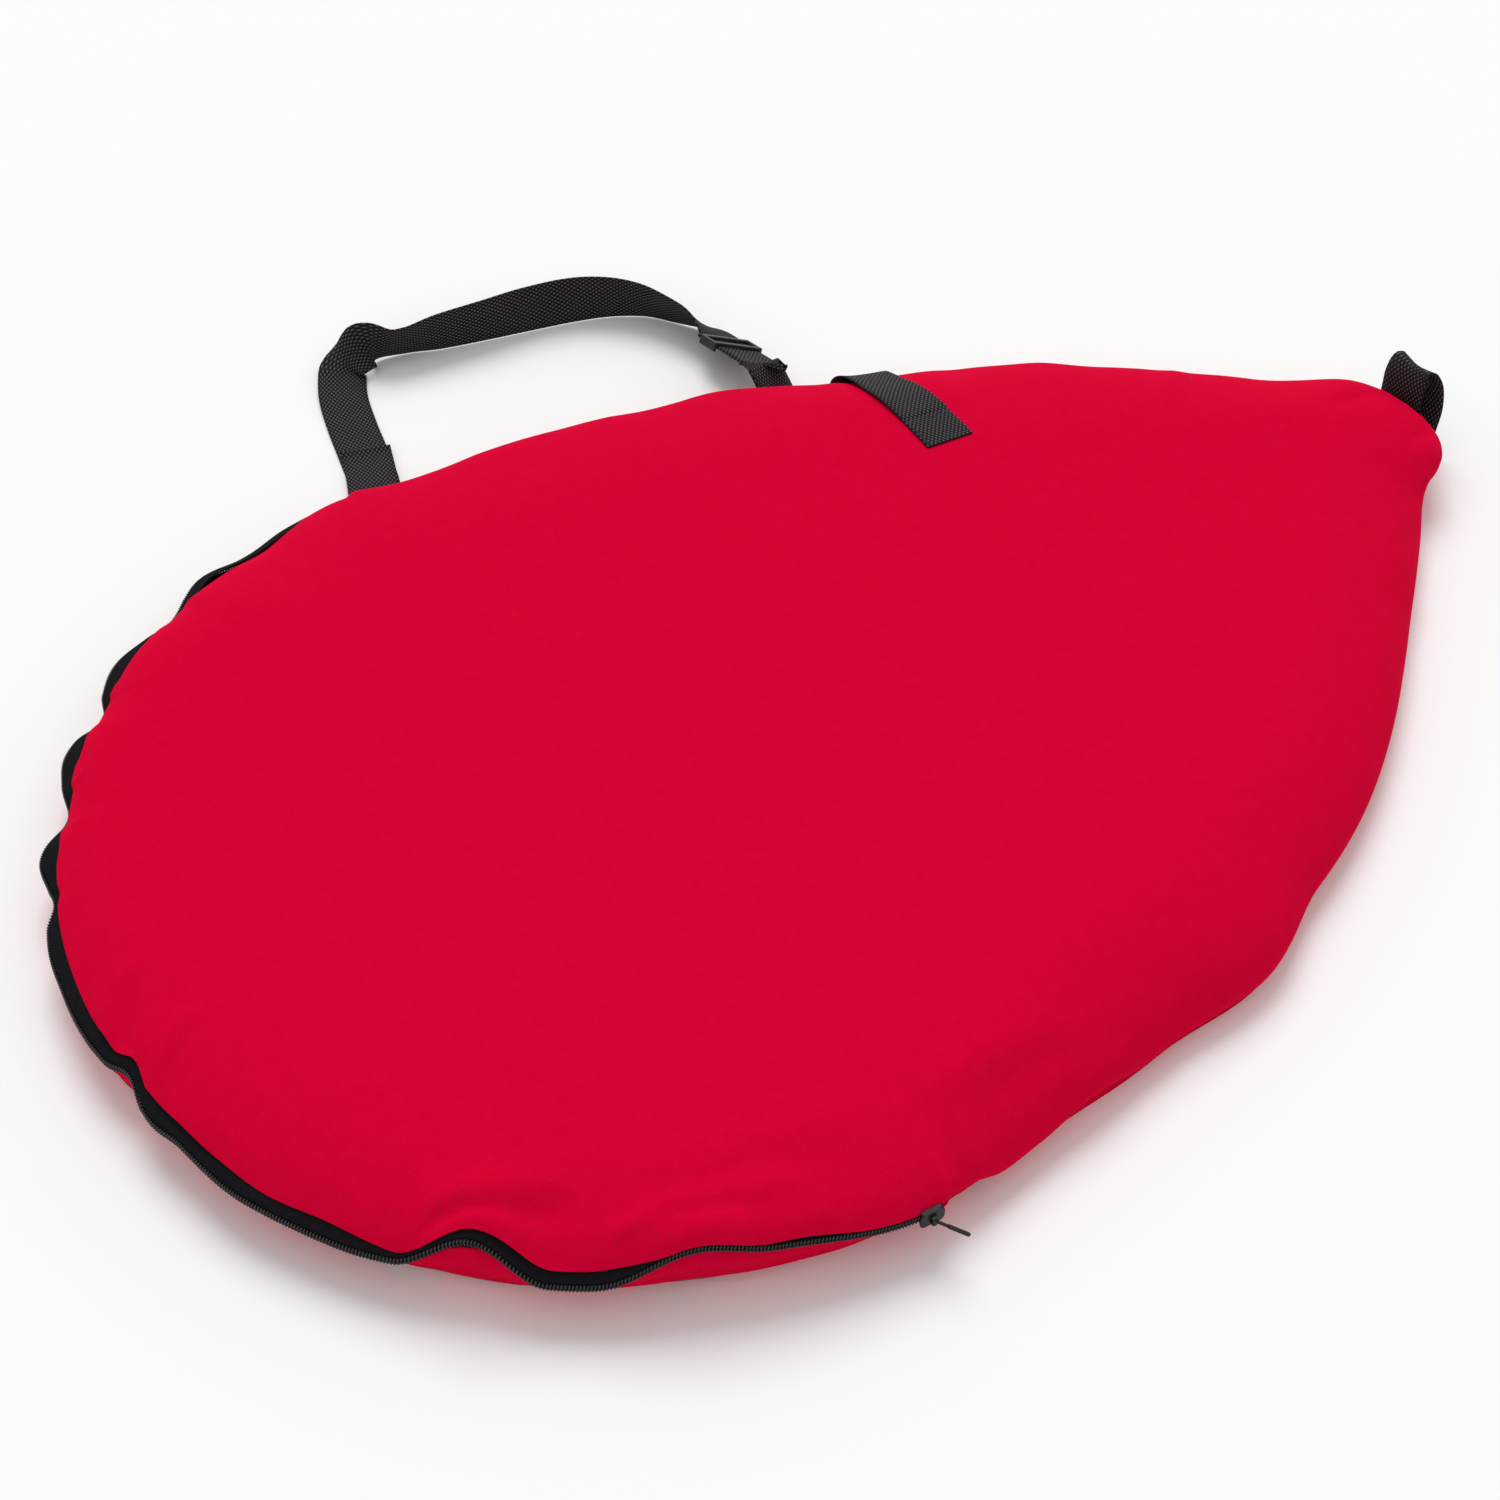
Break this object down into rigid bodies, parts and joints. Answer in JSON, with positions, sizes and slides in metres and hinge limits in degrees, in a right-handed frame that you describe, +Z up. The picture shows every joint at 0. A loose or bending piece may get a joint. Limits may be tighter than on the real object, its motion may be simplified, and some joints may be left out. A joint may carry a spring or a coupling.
{
  "type": "roundnet set in a carry bag",
  "caption": "Leaf-shaped zipped carry bag with a shoulder strap, packed with a roundnet ring, net, legs, balls and a hand pump.",
  "frame": {"origin": "on the floor under the centre of the bag's round end", "axes": "+X to the tip of the bag, +Y to the side with the shoulder strap, +Z up out of the front panel"},
  "size_m": [1.4041, 1.2304, 0.08],
  "materials": {
    "bag_cloth": "matte twill",
    "webbing": "ribbed webbing",
    "zip_tape": "woven tape",
    "zip_coil": "satin coil",
    "zip_slider": "black lacquer, worn at the edges",
    "adjuster": "satin moulding",
    "tube_black": "satin",
    "joint_grey": "satin",
    "foot_rubber": "matte",
    "net_cord": "braided cord",
    "ball_rubber": "matte",
    "steel": "brushed"
  },
  "bodies": {
    "bag": {"back_panel": "bag_cloth", "side_wall": "bag_cloth", "front_panel": "bag_cloth", "shoulder_strap": "webbing", "strap_tail": "webbing", "strap_anchor_round": "webbing", "strap_anchor_tip": "webbing", "front_tab": "webbing", "tip_loop": "webbing", "zip_tape_lower": "zip_tape", "zip_coil_lower": "zip_coil", "zip_stops": "zip_coil", "zip_ends": "zip_coil", "net": "net_cord", "net_clips": "joint_grey", "ring_tube_1": "tube_black", "ring_joint_1": "joint_grey", "leg_1": "tube_black", "leg_foot_1": "foot_rubber", "ring_tube_2": "tube_black", "ring_joint_2": "joint_grey", "leg_2": "tube_black", "leg_foot_2": "foot_rubber", "ring_tube_3": "tube_black", "ring_joint_3": "joint_grey", "leg_3": "tube_black", "leg_foot_3": "foot_rubber", "ring_tube_4": "tube_black", "ring_joint_4": "joint_grey", "leg_4": "tube_black", "leg_foot_4": "foot_rubber", "ring_tube_5": "tube_black", "ring_joint_5": "joint_grey", "leg_5": "tube_black", "leg_foot_5": "foot_rubber", "ball_1": "ball_rubber", "ball_2": "ball_rubber", "ball_3": "ball_rubber", "pump_barrel": "tube_black", "pump_cap": "joint_grey", "pump_needle": "steel"},
    "flap": {"front_flap": "bag_cloth", "zip_tape_upper": "zip_tape", "zip_coil_upper": "zip_coil"},
    "zip_slider": {"zip_slider": "zip_slider"},
    "zip_pull": {"zip_pull": "zip_slider"},
    "strap_adjuster": {"strap_adjuster": "adjuster"},
    "pump_plunger": {"pump_rod": "steel", "pump_handle": "tube_black"}
  },
  "joints": [
    {"name": "flap_open", "type": "hinge", "parent": "bag", "child": "flap", "pos_m": [-0.07757, 0, 0.078], "axis": [0, 1, 0], "range_deg": [0, 150]},
    {"name": "zip_run", "type": "hinge", "parent": "bag", "child": "zip_slider", "pos_m": [0, 0, 0.038], "axis": [0, 0, -1], "range_deg": [0, 169]},
    {"name": "pull_swing", "type": "hinge", "parent": "zip_slider", "child": "zip_pull", "pos_m": [-0.04557, -0.47321, 0.038], "axis": [0, 0, 1], "range_deg": [-120, 50]},
    {"name": "adjuster_slide", "type": "slide", "parent": "bag", "child": "strap_adjuster", "axis": [-0.0833, -0.9649, 0.249], "range_m": [0, 0.05]},
    {"name": "pump_stroke", "type": "slide", "parent": "bag", "child": "pump_plunger", "axis": [0, 1, 0], "range_m": [0, 0.08]}
  ]
}
